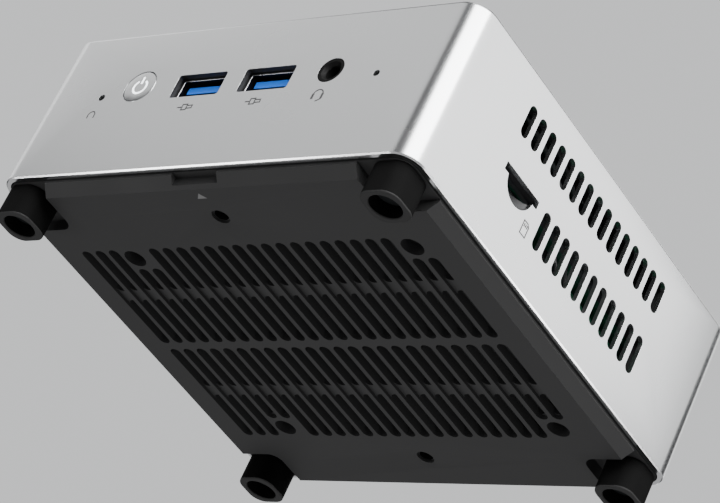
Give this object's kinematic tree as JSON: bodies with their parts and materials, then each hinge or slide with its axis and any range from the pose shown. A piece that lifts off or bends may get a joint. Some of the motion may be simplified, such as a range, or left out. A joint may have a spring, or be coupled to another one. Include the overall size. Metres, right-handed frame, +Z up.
{
  "type": "mini pc",
  "caption": "Palm-size desktop computer: satin aluminium sleeve with side vents, black slotted bottom cover on four rubber feet, front power button, sockets and a card slot.",
  "frame": {"origin": "on the table, under the middle of the case", "axes": "+Z up, front panel towards -Y, card slot side towards +X"},
  "size_m": [0.115, 0.1116, 0.0483],
  "materials": {
    "sleeve": "satin",
    "lid": "gloss",
    "frame": "matte",
    "cover": "fine texture",
    "foot_rubber": "matte",
    "dark_plastic": "matte",
    "light_plastic": "satin",
    "blue_plastic": "satin",
    "steel": "plated",
    "dark_steel": "blackened",
    "thin_metal": "satin",
    "copper": "satin",
    "brass": "satin",
    "circuit_board": "solder mask",
    "lit_symbol": "clear, lit from behind",
    "drive_case": "matte"
  },
  "bodies": {
    "chassis": {"shell": "sleeve", "top_lid": "lid", "inner_frame": "frame", "rear_panel": "frame", "bottom_cover": "cover", "feet": "foot_rubber", "cover_screws": "dark_steel", "screw_retainers": "dark_plastic", "post_inserts": "brass", "bracket_inserts": "dark_steel", "drive_screws": "dark_steel", "storage_drive": "drive_case", "sata_plug": "dark_plastic", "sata_flex": "copper", "sata_header": "light_plastic", "mainboard": "circuit_board", "board_screws": "steel", "board_inserts": "brass", "processor": "circuit_board", "cold_plate": "copper", "heat_pipe": "copper", "heat_sink_fins": "thin_metal", "blower_housing": "dark_plastic", "blower_cover": "thin_metal", "fan_bearing": "brass", "fan_coil": "copper", "cooler_screws": "steel", "memory_sockets": "dark_plastic", "memory_modules": "circuit_board", "ssd_socket": "dark_plastic", "ssd_card": "circuit_board", "wifi_socket": "dark_plastic", "wifi_card": "circuit_board", "card_standoffs": "brass", "card_screws": "steel", "coin_cell": "steel", "antennas": "copper", "antenna_leads": "dark_plastic", "power_switch": "dark_plastic", "reset_switch": "steel", "microphone": "steel", "mic_gasket": "foot_rubber", "usb_shells": "steel", "usb_tongues": "blue_plastic", "audio_jack": "dark_plastic", "card_socket": "steel", "hdmi_port": "steel", "usb_c_port": "steel", "network_port": "steel", "dc_jack": "dark_plastic", "power_inductors": "dark_plastic", "board_chips": "dark_plastic"},
    "power_button": {"power_button_cap": "sleeve", "power_symbol": "lit_symbol", "power_switch_stem": "light_plastic"},
    "reset_plunger": {"reset_switch_stem": "dark_plastic"},
    "fan": {"fan_rotor": "dark_plastic", "fan_shaft": "steel"},
    "card_lock": {"card_slider": "dark_plastic"}
  },
  "joints": [
    {"name": "power_button_press", "type": "slide", "parent": "chassis", "child": "power_button", "axis": [0, 1, 0], "range_m": [0, 0.0005], "stiffness_N_per_m": 3000, "springref_m": -0.0001},
    {"name": "reset_press", "type": "slide", "parent": "chassis", "child": "reset_plunger", "axis": [0, 1, 0], "range_m": [0, 0.00025], "stiffness_N_per_m": 4000, "springref_m": -0.0001},
    {"name": "card_lock_press", "type": "slide", "parent": "chassis", "child": "card_lock", "axis": [-1, 0, 0], "range_m": [0, 0.0012], "stiffness_N_per_m": 400, "springref_m": -0.0003},
    {"name": "fan_spin", "type": "hinge", "parent": "chassis", "child": "fan", "pos_m": [0.019, 0.0114, 0.038], "axis": [0, 0, 1], "continuous": true}
  ]
}
